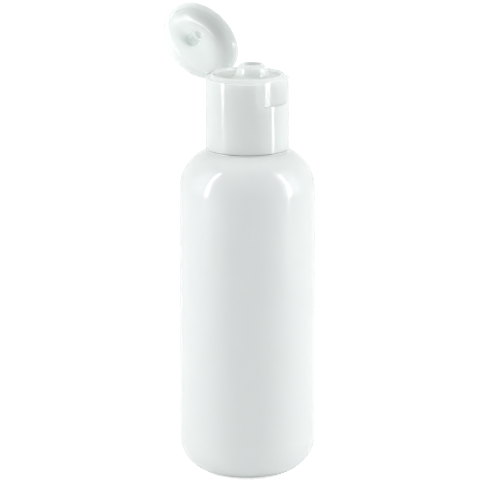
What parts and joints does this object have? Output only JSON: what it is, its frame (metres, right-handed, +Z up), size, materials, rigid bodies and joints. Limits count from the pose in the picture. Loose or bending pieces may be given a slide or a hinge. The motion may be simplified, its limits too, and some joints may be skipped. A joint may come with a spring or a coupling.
{
  "type": "plastic bottle",
  "caption": "Round squeeze bottle with a large rounded shoulder and base, and a screw closure with an off-centre nozzle, a shallow thumb notch and a domed lid on a living hinge.",
  "frame": {"origin": "on the bottle's axis, in the plane that the bottle stands on", "axes": "+Z up along the bottle's axis, -Y towards the thumb notch, +Y towards the hinge and the open lid"},
  "size_m": [0.04, 0.0495, 0.1366],
  "materials": {
    "bottle_plastic": "glossy white, faintly cool",
    "closure_plastic": "glossy white",
    "washer_foam": "matte closed-cell foam"
  },
  "bodies": {
    "bottle": {"bottle": "bottle_plastic"},
    "washer": {"sealing_washer": "washer_foam"},
    "closure": {"closure_base": "closure_plastic", "living_hinge": "closure_plastic"},
    "lid": {"flip_lid": "closure_plastic"}
  },
  "joints": [
    {"name": "closure_lift", "type": "slide", "parent": "bottle", "child": "washer", "axis": [0, 0, 1], "range_m": [0, 0.0048]},
    {"name": "closure_turn", "type": "hinge", "parent": "washer", "child": "closure", "pos_m": [0, 0, 0.1179], "axis": [0, 0, 1], "range_deg": [0, 540]},
    {"name": "lid_flip", "type": "hinge", "parent": "closure", "child": "lid", "pos_m": [0, 0.01165, 0.1179], "axis": [-1, 0, 0], "range_deg": [-128, 47], "deforming": ["living_hinge"]}
  ],
  "couplings": [
    {"joint": "closure_lift", "follows": "closure_turn", "m_per_rad": 0.00050531}
  ]
}
